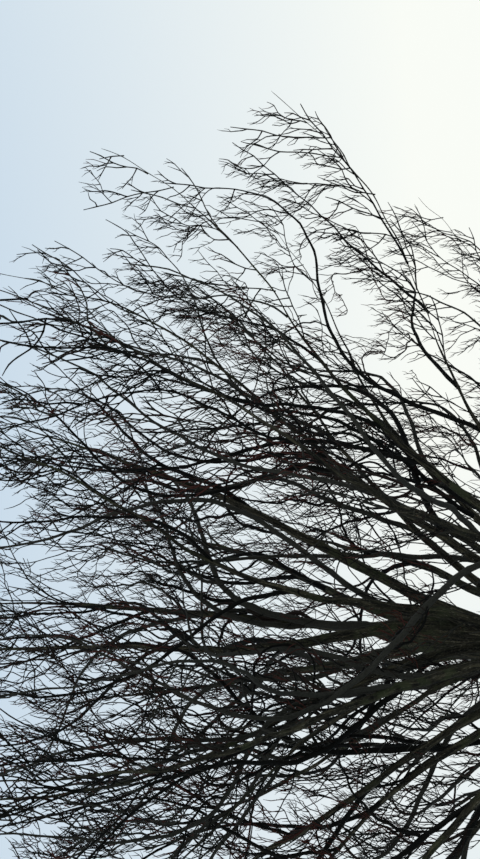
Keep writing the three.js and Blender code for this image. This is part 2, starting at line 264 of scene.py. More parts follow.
@dataclass(frozen=True)
class TwigRule:
    """How the side twigs of one level grow.

    strong is a share of what is left of the parent, weak a length. dropped is the share of
    nodes left bare, in the crown's middle and on its edge.
    """

    first: float
    strong: Span
    weak: Span
    spare: float
    strong_share: float
    dropped: Span
    angle: Span
    lift: float
    wander: float
    sway: float
    waves: float
    node: float
    least_nodes: int
    least_steps: int
    tip: float
    least_radius: float = 0.0


@dataclass
class Limb:
    """A limb or twig: a line of nodes with a heading, a roll and a radius at each."""

    level: Level
    key: tuple[int, ...]
    points: list[Vec]
    headings: list[Vec]
    rolls: list[float]
    radii: list[float]
    length: float
    reach: float


TIERS = (
    Tier(
        count=9, spread=68, vary=5, low_foot=0.95, high_foot=1.6, turn=-44, stout=1.1,
        bend=((0, 0.50), (0.25, 0.80), (0.65, 1.12), (1, 0.55)),
    ),
    Tier(
        count=8, spread=52, vary=6, low_foot=1.1, high_foot=1.9, turn=-24, stout=1.0,
        bend=((0, 0.55), (0.25, 0.88), (0.65, 1.12), (1, 0.60)),
    ),
    Tier(
        count=7, spread=37, vary=6, low_foot=1.3, high_foot=2.6, turn=-39, stout=1.0,
        bend=((0, 0.70), (0.25, 0.98), (0.65, 1.08), (1, 0.74)),
    ),
    Tier(
        count=4, spread=20, vary=4, low_foot=3.0, high_foot=3.9, turn=-14, stout=1.15,
        bend=((0, 1.00), (0.25, 1.05), (0.70, 1.00), (1, 0.80)),
    ),
)

RULES = {
    Level.BRANCH: TwigRule(
        first=0.22, strong=(0.75, 1.05), weak=(0.3, 1.1), spare=0.3, strong_share=0.4,
        dropped=(0.15, 0.1), angle=(24, 42), lift=0.035, wander=14, sway=0.16, waves=8.0,
        node=0.18, least_nodes=3, least_steps=2, tip=0.0065,
    ),
    Level.BRANCHLET: TwigRule(
        first=0.08, strong=(0.45, 0.85), weak=(0.1, 0.45), spare=0.16, strong_share=0.25,
        dropped=(0.4, 0.15), angle=(27, 45), lift=0.07, wander=26, sway=0.3, waves=7.0,
        node=0.11, least_nodes=3, least_steps=2, tip=0.0055, least_radius=0.008,
    ),
    Level.TWIG: TwigRule(
        first=0.08, strong=(0.25, 0.5), weak=(0.04, 0.16), spare=0.1, strong_share=0.35,
        dropped=(0.6, 0.12), angle=(30, 52), lift=0.36, wander=28, sway=0.25, waves=5.0,
        node=0.07, least_nodes=2, least_steps=1, tip=0.0048, least_radius=0.0062,
    ),
    Level.SHOOT: TwigRule(
        first=0.2, strong=(0.3, 0.5), weak=(0.02, 0.06), spare=0.06, strong_share=0.3,
        dropped=(0.8, 0.3), angle=(28, 50), lift=0.34, wander=22, sway=0.25, waves=4.0,
        node=0.045, least_nodes=2, least_steps=1, tip=0.0038, least_radius=0.0046,
    ),
}


@dataclass(frozen=True)
class TrunkForm:
    """The trunk's sizes: a bole with a root flare, and above its fork the thinner leader."""

    bole_radius: float = 0.385
    bole_taper: float = 0.043
    fork_height: float = 3.9
    fork_blend: float = 0.5
    flare_height: float = 0.9
    flare_extra: float = 0.09
    flare_lobes: int = 5
    lobe_depth: float = 0.09
    small_lobes: int = 3
    small_lobe_share: float = 0.35
    small_lobe_turn: float = 1.0
    leader_radius: float = 0.072
    leader_length: float = 8.0
    leader_fade: float = 1.1
    tip: float = 0.004

    def flare_at(self, height: float) -> float:
        """Returns what the root flare adds to the radius at a height."""
        if height >= self.flare_height:
            return 0.0
        return self.flare_extra * (1.0 - height / self.flare_height) ** 2

    def radius_at(self, height: float) -> float:
        """Gives the trunk's radius, with the root flare and the step down at the fork.

        Args:
            height: The height above the ground.

        Returns:
            The radius there.
        """
        radius = self.bole_radius - self.bole_taper * height
        above = height - self.fork_height
        if above > 0:
            blend = min(1.0, above / self.fork_blend)
            left = max(0.0, 1.0 - above / self.leader_length)
            radius = radius * (1.0 - blend) + self.leader_radius * left**self.leader_fade * blend
        return max(self.tip, radius + self.flare_at(height))


@dataclass(frozen=True)
class GrowthRule:
    """The rule by which the whole tree grows, with its sizes in metres and degrees."""

    crown: Crown = Crown()
    trunk: TrunkForm = TrunkForm()
    bough_nodes: int = 26
    bough_thickness: float = 0.0065
    bough_taper: float = 1.35
    bough_tip: float = 0.004
    bough_reach: Span = (0.9455, 0.99)
    turn_vary: float = 12.0
    foot_step: float = 0.618
    leader_nodes: int = 30
    leader_reach: float = 0.99
    leader_lean: float = 6.0
    leader_azimuth: float = 153.0
    leader_liveliness: float = 0.3
    leader_bend: Profile = ((0, 0), (0.3, 0.3), (1, 1))
    leader_bare_height: float = 4.2
    twig_thickness: float = 0.0066
    twig_taper: float = 0.8
    allometry: float = 1.2
    past_parent: float = 0.02
    tilt_sway: float = 7.0
    veer_sway: float = 14.0
    quiver_sway: float = 8.0
    tilt_waves: float = 7.0
    veer_waves: float = 4.0
    quiver_waves: float = 12.0
    full_drift: float = 0.6
    kink: Span = (2.0, 12.0)
    first_kink: float = 0.6
    last_kink: float = 0.8
    bough_roll: float = 0.5
    step_range: Span = (0.05, 3.0)
    halvings: int = 40
    first_lift: float = 0.5
    last_lift: float = 1.2
    least_rise: float = -0.3
    strong_opening: float = 0.8
    weak_opening: float = 1.15
    least_outward: float = 0.25
    full_outward: float = 0.5
    twig_roll: float = 0.6
    wander_range: Span = (0.2, 1.0)
    strong_cap: float = 0.62
    weak_cap: float = 0.42
    weak_share: float = 0.9
    shell: Profile = ((0, 0), (0.3, 0), (0.75, 1), (1, 0.8))

    def bough_line(
        self, number: int, azimuth: float, spread: float, foot: float, reach: float,
        bend: Profile, nodes: int, liveliness: float = 1.0,
    ) -> Limb:
        """Grows the line of a bough or the leader, from its foot to the edge of the crown.

        Args:
            number: The limb's number, which names its row of seeded numbers.
            azimuth: Its bearing, in radians.
            spread: Its angle from upright, in radians.
            foot: The height where it leaves the trunk's middle.
            reach: The share of the crown that its tip reaches.
            bend: The profile of its spread from foot to tip.
            nodes: How many steps it takes.
            liveliness: How much it sways and kinks.

        Returns:
            The limb, still with no radii.
        """
        dice = Dice(Row.LIMB, number)
        phases = [FULL_TURN * dice.draw() for _ in range(3)]
        drift = min(1.0, self.full_drift / math.sin(spread))
        headings: list[Vec] = []
        rolls: list[float] = []
        line: list[Vec] = [(0.0, 0.0, 0.0)]
        roll = dice.draw() * FULL_TURN
        for i in range(nodes):
            place = (i + 0.5) / nodes
            tilt = spread * profile_at(bend, place)
            sway = math.sin(self.tilt_waves * place + phases[0])
            tilt += liveliness * math.radians(self.tilt_sway) * sway
            veer = math.radians(self.veer_sway) * math.sin(self.veer_waves * place + phases[1])
            veer += math.radians(self.quiver_sway) * math.sin(self.quiver_waves * place + phases[2])
            bearing = azimuth + veer * drift
            heading = (
                math.sin(tilt) * math.cos(bearing),
                math.sin(tilt) * math.sin(bearing),
                math.cos(tilt),
            )
            roll += GOLDEN_ANGLE + dice.between(-self.bough_roll, self.bough_roll)
            growing = self.first_kink + self.last_kink * place
            kink = math.radians(dice.between(*self.kink) * growing * liveliness)
            heading = unit(along(heading, side_of(heading, roll), -math.tan(kink)))
            headings.append(heading)
            rolls.append(roll)
            line.append(along(line[-1], heading))
        start = (0.0, 0.0, foot)
        shortest, longest = self.step_range
        for _ in range(self.halvings):
            middle = (shortest + longest) / 2
            if self.crown.share(along(start, line[-1], middle)) < reach:
                shortest = middle
            else:
                longest = middle
        step = (shortest + longest) / 2
        points = [along(start, point, step) for point in line]
        key = (int(Row.LIMB), number)
        return Limb(Level.BOUGH, key, points, headings, rolls, [], step * nodes, reach)

    def limbs(self) -> list[Limb]:
        """Grows all the boughs, tier by tier, and then the leader.

        Returns:
            The limbs, the leader last.
        """
        grown: list[Limb] = []
        for tier_index, tier in enumerate(TIERS):
            for place in range(tier.count):
                dice = Dice(Row.TIER, tier_index, place)
                aside = dice.between(-self.turn_vary, self.turn_vary)
                spread = math.radians(tier.spread + dice.between(-tier.vary, tier.vary))
                rise = (place * self.foot_step) % 1
                azimuth = math.radians(tier.turn + CIRCLE_DEGREES * place / tier.count + aside)
                bough = self.bough_line(
                    len(grown), azimuth, spread,
                    tier.low_foot + (tier.high_foot - tier.low_foot) * rise,
                    dice.between(*self.bough_reach), tier.bend, self.bough_nodes,
                )
                thickest = tier.stout * self.bough_thickness * bough.length**self.allometry
                bough.radii = [
                    max(self.bough_tip, thickest * (1 - i / self.bough_nodes) ** self.bough_taper)
                    for i in range(self.bough_nodes + 1)
                ]
                grown.append(bough)
        leader = self.bough_line(
            len(grown), math.radians(self.leader_azimuth), math.radians(self.leader_lean), 0.0,
            self.leader_reach, self.leader_bend, self.leader_nodes, self.leader_liveliness,
        )
        leader.radii = [self.trunk.radius_at(point[2]) for point in leader.points]
        grown.append(leader)
        return grown

    def twig(
        self, parent: Limb, node: int, level: Level, length: float, is_strong: bool
    ) -> Limb | None:
        """Grows one side twig of a parent.

        Args:
            parent: The limb that it grows from.
            node: The parent's node where it starts.
            level: The level that it is of.
            length: Its length if nothing stops it.
            is_strong: Whether it is one of the leading side twigs.

        Returns:
            The twig, or None where it has no room.
        """
        rule = RULES[level]
        key = (*parent.key, node)
        dice = Dice(*key)
        origin = parent.points[node]
        widening = self.strong_opening if is_strong else self.weak_opening
        opening = math.radians(dice.between(*rule.angle) * widening)
        ahead, roll = parent.headings[node], parent.rolls[node]
        turned = math.pi if math.cos(roll) < self.least_rise else 0.0
        side = side_of(ahead, roll + turned)
        heading = unit(along(scaled(ahead, math.cos(opening)), side, math.sin(opening)))
        reach = parent.reach + self.past_parent
        if level is Level.BRANCH:
            outward = dot(heading, unit(along(origin, self.crown.heart, -1.0)))
            length *= max(self.least_outward, min(1.0, outward / self.full_outward))
            drawn = self.crown.edge_inner + self.crown.edge_vary * dice.draw()
            reach = max(drawn, self.crown.share(origin) + self.crown.edge_past)
        nodes = max(rule.least_nodes, math.floor(length / rule.node + 0.5))
        step = length / nodes
        short = min(1.0, step / rule.node)
        points, headings, rolls = [origin], [], []
        roll = dice.draw() * FULL_TURN
        aside, phase = dice.draw() * FULL_TURN, dice.draw() * FULL_TURN
        for i in range(nodes):
            place = (i + 0.5) / nodes
            bend = rule.sway * math.sin(rule.waves * place + phase) * short
            heading = unit(along(heading, side_of(heading, aside), bend))
            lift = rule.lift * (self.first_lift + self.last_lift * place * place) * short
            heading = unit(along(heading, UP, lift))
            roll += GOLDEN_ANGLE + dice.between(-self.twig_roll, self.twig_roll)
            kink = math.radians(dice.between(*self.wander_range) * rule.wander)
            heading = unit(along(heading, side_of(heading, roll), -math.tan(kink)))
            after = along(points[-1], heading, step)
            if self.crown.share(after) > reach:
                break
            headings.append(heading)
            rolls.append(roll)
            points.append(after)
        last = len(headings)
        if last < rule.least_steps:
            return None
        cap = parent.radii[node] * (self.strong_cap if is_strong else self.weak_cap)
        thickest = max(rule.least_radius, min(self.twig_thickness * length**self.allometry, cap))
        tapers = [thickest * (1 - i / last) ** self.twig_taper for i in range(last + 1)]
        radii = [max(rule.tip, radius) for radius in tapers]
        return Limb(level, key, points, headings, rolls, radii, step * last, reach)

    def twigs(self, parent: Limb, level: Level) -> list[Limb]:
        """Grows the side twigs of a parent.

        Args:
            parent: The limb that they grow from.
            level: The level that they are of.

        Returns:
            The twigs that have room.
        """
        rule = RULES[level]
        count = len(parent.headings)
        grown: list[Limb] = []
        for node in range(count):
            place = node / count
            dice = Dice(Row.TWIGS, *parent.key, node)
            kept, picked, vary = dice.draw(), dice.draw(), dice.draw()
            inner, outer = rule.dropped
            share = profile_at(self.shell, min(1.0, self.crown.share(parent.points[node])))
            if place < rule.first or kept < inner + (outer - inner) * share:
                continue
            if parent.level is Level.BOUGH and parent.points[node][2] < self.bare_height(parent):
                continue
            left = parent.length * (1 - place)
            is_strong = picked < rule.strong_share
            low, high = rule.strong if is_strong else rule.weak
            drawn = low + (high - low) * vary
            length = left * drawn if is_strong else min(drawn, left * self.weak_share)
            twig = self.twig(parent, node, level, length + rule.spare, is_strong)
            if twig:
                grown.append(twig)
        return grown

    def bare_height(self, parent: Limb) -> float:
        """Returns the height below which a limb has no side twigs: the leader's is the trunk."""
        return self.leader_bare_height if len(parent.headings) == self.leader_nodes else 0.0


def value_noise(points: np.ndarray, seed: int) -> np.ndarray:
    """Smooth random values from -1 to 1 over space.

    Args:
        points: Places, one row each, in units of the noise's grain.
        seed: Names the pattern.

    Returns:
        One value for each place.
    """
    cell = np.floor(points).astype(np.int64)
    inside = points - cell
    ease = inside * inside * (3.0 - 2.0 * inside)
    total = np.zeros(len(points))
    for corner in np.ndindex(2, 2, 2):
        offset = np.array(corner)
        mixed = (cell + offset) * CELL_FACTORS
        mixed = (mixed[:, 0] ^ mixed[:, 1] ^ mixed[:, 2] ^ seed) & Dice.MODULUS
        for _ in range(2):
            mixed = (mixed * Dice.FACTOR) % Dice.MODULUS
        weight = np.where(offset, ease, 1.0 - ease).prod(axis=1)
        total += weight * (mixed / Dice.MODULUS * 2.0 - 1.0)
    return total


@dataclass(frozen=True)
class Ring:
    """One ring of a limb's cage: its middle, the way that it faces and its radius."""

    centre: Vector
    facing: Vector
    radius: float


def rings_of(limb: Limb, stretch: Iterable[float]) -> list[Ring]:
    """The rings of a limb.

    Args:
        limb: The limb.
        stretch: Where the rings lie, in nodes from the limb's foot.

    Returns:
        A ring at each of those places.
    """
    last = len(limb.points) - 1
    rings = []
    for place in stretch:
        node = min(last - 1, int(place))
        part = place - node
        ends = [Vector(limb.points[node]), Vector(limb.points[node + 1])]
        before = Vector(limb.points[max(0, math.floor(place + 0.5) - 1)])
        after = Vector(limb.points[min(last, math.floor(place + 0.5) + 1)])
        radius = limb.radii[node] * (1 - part) + limb.radii[node + 1] * part
        rings.append(Ring(ends[0].lerp(ends[1], part), (after - before).normalized(), radius))
    return rings


def extrude_limb(name: str, rings: Sequence[Ring], sides: int) -> Piece:
    """Models a limb by hand's steps: a disc extruded, turned and scaled from ring to ring.

    Args:
        name: The piece's name.
        rings: The rings, from foot to tip.
        sides: How many corners each ring has.

    Returns:
        The closed limb, its object at the origin.
    """
    bpy.ops.object.select_all(action="DESELECT")
    foot = rings[0]
    turned = foot.facing.to_track_quat("Z", "Y").to_euler()
    bpy.ops.mesh.primitive_circle_add(
        vertices=sides, radius=foot.radius, fill_type="NGON", location=foot.centre, rotation=turned
    )
    limb = bpy.context.object
    limb.name = limb.data.name = name
    bpy.ops.object.transform_apply(location=True, rotation=True, scale=True)
    bpy.ops.object.mode_set(mode="EDIT")
    bpy.ops.mesh.select_all(action="SELECT")
    for before, after in zip(rings, rings[1:]):
        bpy.ops.mesh.extrude_region_move(
            TRANSFORM_OT_translate={"value": after.centre - before.centre}
        )
        turn = before.facing.rotation_difference(after.facing)
        if turn.angle > LEAST_TURN:
            basis = turn.axis.to_track_quat("Z", "Y").to_matrix()
            bpy.ops.transform.rotate(
                value=-turn.angle, orient_axis="Z", orient_type="GLOBAL", orient_matrix=basis,
                orient_matrix_type="GLOBAL", constraint_axis=(False, False, True),
                center_override=after.centre,
            )
        grow = after.radius / before.radius
        bpy.ops.transform.resize(value=(grow, grow, grow), center_override=after.centre)
    bpy.ops.mesh.select_all(action="SELECT")
    bpy.ops.mesh.normals_make_consistent(inside=False)
    bpy.ops.object.mode_set(mode="OBJECT")
    return limb


def subdivide(piece: Piece, levels: int) -> None:
    """Rounds a piece with a Subdivision Surface modifier and applies it.

    Args:
        piece: The piece.
        levels: How often each face is divided.
    """
    bpy.ops.object.select_all(action="DESELECT")
    piece.select_set(True)
    bpy.context.view_layer.objects.active = piece
    rounding = piece.modifiers.new("rounding", "SUBSURF")
    rounding.levels = rounding.render_levels = levels
    bpy.ops.object.modifier_apply(modifier=rounding.name)
    bpy.ops.object.shade_smooth()


def rows_of(values: bpy.types.bpy_prop_collection, name: str) -> np.ndarray:
    """Reads a vector from each vertex.

    Args:
        values: The mesh's vertices or their normals.
        name: What the vector is called there.

    Returns:
        The vectors, one row each.
    """
    flat = np.empty(len(values) * 3, np.float32)
    values.foreach_get(name, flat)
    return flat.reshape(-1, 3).astype(float)


def move_vertices(piece: Piece, places: np.ndarray) -> None:
    """Puts the vertices of a piece at new places, given one row each."""
    piece.data.vertices.foreach_set("co", places.astype(np.float32).ravel())
    piece.data.update()


@dataclass(frozen=True)
class BarkSkin:
    """The relief of the bark: long shallow streaks, slow swellings and collars under limbs."""

    streak_width: float = 0.028
    streak_length: float = 0.30
    streak_depth: float = 0.0035
    swell_size: float = 0.35
    swell_depth: float = 0.05
    slim_radius: float = 0.08
    least_slim: float = 0.15
    finer: float = 2.3
    finer_share: float = 0.5
    swell_stretch: float = 0.6
    swell_shift: float = 7.0
    joint_width: float = 1.9
    joint_height: float = 0.34
    middle_radius: float = 1e-4

    def coordinates(self, places: np.ndarray, limb: Limb) -> np.ndarray:
        """Lays the skin's own coordinates on a limb: round it, round it, and along it.

        Args:
            places: The vertices, one row each.
            limb: The limb that they lie round.

        Returns:
            For each vertex its offset from the limb's middle across two fixed ways, and its
            distance along the limb.
        """
        nodes = np.array(limb.points)
        ways = np.diff(nodes, axis=0)
        lengths = np.linalg.norm(ways, axis=1)
        starts = np.concatenate([[0.0], np.cumsum(lengths)[:-1]])
        ahead = ways / lengths[:, None]
        across = [np.array(side_of(limb.headings[0], 0.0))]
        for way in ahead[1:]:
            carried = across[-1] - way * (across[-1] @ way)
            across.append(carried / np.linalg.norm(carried))
        offset = places[:, None, :] - nodes[None, :-1, :]
        distance = np.clip((offset * ahead).sum(axis=2), 0.0, lengths)
        gap = np.linalg.norm(offset - distance[..., None] * ahead, axis=2)
        nearest = gap.argmin(axis=1)
        row = np.arange(len(places))
        away = offset[row, nearest] - distance[row, nearest, None] * ahead[nearest]
        side = np.array(across)[nearest]
        other = np.cross(ahead[nearest], side)
        run = starts[nearest] + distance[row, nearest]
        return np.stack([(away * side).sum(axis=1), (away * other).sum(axis=1), run], axis=1)

    def relief(self, skin: np.ndarray, radius: np.ndarray, seed: int) -> np.ndarray:
        """How far the bark stands out at each vertex.

        Args:
            skin: The skin's coordinates.
            radius: The limb's radius at each vertex.
            seed: Names the pattern.

        Returns:
            The height of the relief, in metres.
        """
        slim = np.clip(radius / self.slim_radius, self.least_slim, 1.0)
        width = self.streak_width * slim
        round_x, round_y, run = skin.T
        streaks = np.stack([round_x / width, round_y / width, run / self.streak_length], axis=1)
        height = value_noise(streaks, seed) * self.streak_depth * slim
        finer = value_noise(streaks * self.finer, seed + 1)
        height += finer * self.streak_depth * self.finer_share * slim
        slow = np.stack([round_x, round_y, run * self.swell_stretch], axis=1) / self.swell_size
        return height + value_noise(slow + self.swell_shift, seed + 2) * self.swell_depth * radius

    def dress(self, piece: Piece, limb: Limb, seed: int, joints: Sequence[Ring]) -> None:
        """Gives a limb its relief, the collars of what grows from it, and its coordinates.

        Args:
            piece: The limb's mesh.
            limb: The line that it was modelled on.
            seed: Names the pattern.
            joints: Where other limbs leave it, with their way and radius.
        """
        places = rows_of(piece.data.vertices, "co")
        skin = self.coordinates(places, limb)
        radius = np.hypot(skin[:, 0], skin[:, 1])
        height = self.relief(skin, radius, seed)
        for joint in joints:
            apart = np.linalg.norm(places - np.array(joint.centre), axis=1)
            wide = self.joint_width * joint.radius
            height += self.joint_height * joint.radius * np.exp(-((apart / wide) ** 2))
        ground = piece.data.attributes.new("bark", "FLOAT_VECTOR", "POINT")
        ground.data.foreach_set("vector", skin.astype(np.float32).ravel())
        inside = radius > self.middle_radius
        normals = rows_of(piece.data.vertex_normals, "vector")
        places[inside] += normals[inside] * height[inside, None]
        move_vertices(piece, places)


class Signal:
    """A number in a material's node tree, with Python's arithmetic for shader maths."""

    def __init__(self, graph: NodeTree, socket: Socket) -> None:
        """Wraps the socket that carries the number."""
        self.graph = graph
        self.socket = socket

    def _maths(self, operation: str, *values: Signal | float) -> Signal:
        """Adds a Math node and returns its result."""
        node = self.graph.add("ShaderNodeMath", {"operation": operation}, dict(enumerate(values)))
        return Signal(self.graph, node.outputs[0])

    def __add__(self, other: Signal | float) -> Signal:
        """Returns the sum."""
        return self._maths("ADD", self, other)

    def __sub__(self, other: Signal | float) -> Signal:
        """Returns the difference."""
        return self._maths("SUBTRACT", self, other)

    def __rsub__(self, other: float) -> Signal:
        """Returns the difference from a plain number."""
        return self._maths("SUBTRACT", other, self)

    def __mul__(self, other: Signal | float) -> Signal:
        """Returns the product."""
        return self._maths("MULTIPLY", self, other)

    __radd__ = __add__
    __rmul__ = __mul__

    def between(self, low: float, high: float) -> Signal:
        """Steps smoothly from 0 to 1 over a range.

        Args:
            low: Where the step starts.
            high: Where it ends.

        Returns:
            The step.
        """
        node = self.graph.add(
            "ShaderNodeMapRange", {"interpolation_type": "SMOOTHSTEP"},
            {"Value": self, "From Min": low, "From Max": high},
        )
        return Signal(self.graph, node.outputs[0])


@dataclass(frozen=True)
class Grain:
    """A noise pattern: its scale, its detail and how far it is drawn out along the limb."""

    scale: float
    detail: float
    along: float = 1.0


class NodeTree:
    """Builds a tree of shader nodes."""

    def __init__(self, tree: bpy.types.NodeTree) -> None:
        """Keeps the tree that the nodes go into."""
        self.tree = tree

    def add(
        self, kind: str, settings: dict | None = None, inputs: dict | None = None
    ) -> bpy.types.Node:
        """Adds a node.

        Args:
            kind: The node's type.
            settings: Its properties.
            inputs: The values or links of its sockets, by name or place.

        Returns:
            The node.
        """
        node = self.tree.nodes.new(kind)
        for name, value in (settings or {}).items():
            setattr(node, name, value)
        for name, value in (inputs or {}).items():
            self.feed(node.inputs[name], value)
        return node

    def feed(self, socket: Socket, value: object) -> None:
        """Links a socket or sets its value.

        Args:
            socket: The socket that takes the value.
            value: A signal, another socket, or a plain number, vector or colour.
        """
        if isinstance(value, Signal):
            value = value.socket
        if isinstance(value, Socket):
            self.tree.links.new(value, socket)
        else:
            socket.default_value = value

    def blend(self, factor: Signal | Socket, first: object, second: object) -> Socket:
        """Mixes two colours.

        Args:
            factor: The share of the second colour.
            first: The first colour.
            second: The second colour.

        Returns:
            The mixed colour.
        """
        # A Mix node's colours go into its sockets 6 and 7 and come out of its socket 2.
        settings = {"data_type": "RGBA", "clamp_factor": True}
        node = self.add("ShaderNodeMix", settings, {0: factor, 6: first, 7: second})
        return node.outputs[2]


class NodeGraph(NodeTree):
    """Builds the node tree of one material."""

    def __init__(self, name: str) -> None:
        """Starts a material with a plain shader and its output.

        Args:
            name: The material's name.
        """
        self.material = bpy.data.materials.new(name)
        self.material.use_nodes = True
        super().__init__(self.material.node_tree)
        self.tree.nodes.clear()
        self.shader = self.add("ShaderNodeBsdfPrincipled")
        output = self.add("ShaderNodeOutputMaterial")
        self.tree.links.new(self.shader.outputs[0], output.inputs[0])

    def noise(self, vector: Socket, grain: Grain) -> Signal:
        """Lays a noise pattern over a vector.

        Args:
            vector: Where the pattern is read.
            grain: The pattern.

        Returns:
            The pattern's value.
        """
        if grain.along < 1.0:
            stretch = {0: vector, 1: (1.0, 1.0, grain.along)}
            vector = self.add("ShaderNodeVectorMath", {"operation": "MULTIPLY"}, stretch).outputs[0]
        inputs = {"Vector": vector, "Scale": grain.scale, "Detail": grain.detail}
        return Signal(self, self.add("ShaderNodeTexNoise", {}, inputs).outputs[0])

    def bump(self, height: Signal, strength: float, distance: float) -> Socket:
        """Returns a normal bent by a height."""
        inputs = {"Height": height, "Strength": strength, "Distance": distance}
        return self.add("ShaderNodeBump", {}, inputs).outputs[0]

    def finish(self, **inputs: object) -> Material:
        """Feeds the shader's sockets.

        Args:
            inputs: The values or links, by the sockets' names in small letters.

        Returns:
            The material.
        """
        for name, value in inputs.items():
            socket = name.replace("_", " ").title().replace("Ior", "IOR")
            self.feed(self.shader.inputs[socket], value)
        return self.material


def shade(red: float, green: float, blue: float) -> RGBA:
    """Returns an opaque colour."""
    return (red, green, blue, 1.0)


@dataclass(frozen=True)
class BarkFinish:
    """Dark smooth bark: brown-grey, with pale upright streaks and a green bloom of algae."""

    name: str = "bark"
    deep: RGBA = shade(0.005, 0.005, 0.004)
    brown: RGBA = shade(0.054, 0.047, 0.029)
    pale: RGBA = shade(0.200, 0.182, 0.138)
    algae: RGBA = shade(0.044, 0.052, 0.024)
    streak_grain: Grain = Grain(scale=46.0, detail=4.0, along=0.10)
    fine_grain: Grain = Grain(scale=150.0, detail=3.0, along=0.22)
    crack_grain: Grain = Grain(scale=28.0, detail=2.0, along=0.05)
    patch_grain: Grain = Grain(scale=1.3, detail=3.0)
    blotch_grain: Grain = Grain(scale=9.0, detail=4.0)
    streak_edges: Span = (0.36, 0.62)
    fine_edges: Span = (0.53, 0.70)
    crack_edges: Span = (0.60, 0.52)
    patch_edges: Span = (0.48, 0.62)
    blotch_edges: Span = (0.40, 0.60)
    pale_share: float = 0.6
    crack_share: float = 0.6
    algae_share: float = 0.55
    streak_height: float = 0.6
    fine_height: float = 0.4
    crack_depth: float = 0.5
    bump: float = 0.7
    bump_height: float = 0.006
    roughness: float = 0.82
    rough_vary: float = 0.16
    shine: float = 0.08

    def material(self) -> Material:
        """Builds the material on the bark's own coordinates.

        Returns:
            The material.
        """
        graph = NodeGraph(self.name)
        skin = graph.add("ShaderNodeAttribute", {"attribute_name": "bark"}).outputs["Vector"]
        place = graph.add("ShaderNodeTexCoord").outputs["Object"]
        streaks = graph.noise(skin, self.streak_grain)
        fine = graph.noise(skin, self.fine_grain)
        cracks = graph.noise(skin, self.crack_grain)
        patches = graph.noise(place, self.patch_grain)
        blotches = graph.noise(place, self.blotch_grain)
        cracked = cracks.between(*self.crack_edges)
        bloom = patches.between(*self.patch_edges) * blotches.between(*self.blotch_edges)
        colour = graph.blend(streaks.between(*self.streak_edges), self.deep, self.brown)
        colour = graph.blend(fine.between(*self.fine_edges) * self.pale_share, colour, self.pale)
        colour = graph.blend(cracked * self.crack_share, colour, self.deep)
        colour = graph.blend(bloom * self.algae_share, colour, self.algae)
        height = streaks * self.streak_height + fine * self.fine_height
        height = height - cracked * self.crack_depth
        rough = self.roughness + blotches * self.rough_vary - self.rough_vary / 2
        return graph.finish(
            base_color=colour, roughness=rough, specular_ior_level=self.shine,
            normal=graph.bump(height, self.bump, self.bump_height),
        )


@dataclass(frozen=True)
class TwigFinish:
    """The bark of twigs and the scales of buds: one plain tint with a faint change of grain."""

    name: str
    tint: RGBA
    roughness: float = 0.7
    shine: float = 0.06
    grain: Grain = Grain(scale=60.0, detail=2.0)
    edges: Span = (0.35, 0.65)
    shadow: float = 0.72
    rough_vary: float = 0.2
    bump: float = 0.3
    bump_height: float = 0.002

    def material(self) -> Material:
        """Builds the material.

        Returns:
            The material.
        """
        graph = NodeGraph(self.name)
        place = graph.add("ShaderNodeTexCoord").outputs["Object"]
        grain = graph.noise(place, self.grain)
        darker = shade(*(part * self.shadow for part in self.tint[:3]))
        colour = graph.blend(grain.between(*self.edges), darker, self.tint)
        return graph.finish(
            base_color=colour, specular_ior_level=self.shine,
            roughness=grain * self.rough_vary + (self.roughness - self.rough_vary / 2),
            normal=graph.bump(grain, self.bump, self.bump_height),
        )


TWIG_FINISHES = (
    TwigFinish("twig_bark_dark", shade(0.006, 0.006, 0.005)),
    TwigFinish("twig_bark_brown", shade(0.020, 0.013, 0.010)),
    TwigFinish("twig_bark_grey", shade(0.032, 0.031, 0.025)),
    TwigFinish("twig_bark_russet", shade(0.068, 0.021, 0.016)),
)
BUD_FINISHES = (
    TwigFinish("bud_scales_brown", shade(0.060, 0.026, 0.018), roughness=0.5),
    TwigFinish("bud_scales_red", shade(0.110, 0.034, 0.026), roughness=0.45),
)


@dataclass(frozen=True)
class FloorFinish:
    """A plain pale floor with a breath of unevenness."""

    name: str = "studio_floor"
    tint: RGBA = shade(0.62, 0.63, 0.62)
    darker: RGBA = shade(0.60, 0.61, 0.60)
    grain: Grain = Grain(scale=0.35, detail=2.0)
    edges: Span = (0.3, 0.7)
    roughness: float = 0.9

    def material(self) -> Material:
        """Builds the material.

        Returns:
            The material.
        """
        graph = NodeGraph(self.name)
        place = graph.add("ShaderNodeTexCoord").outputs["Object"]
        cloud = graph.noise(place, self.grain)
        colour = graph.blend(cloud.between(*self.edges), self.tint, self.darker)
        return graph.finish(base_color=colour, roughness=self.roughness)


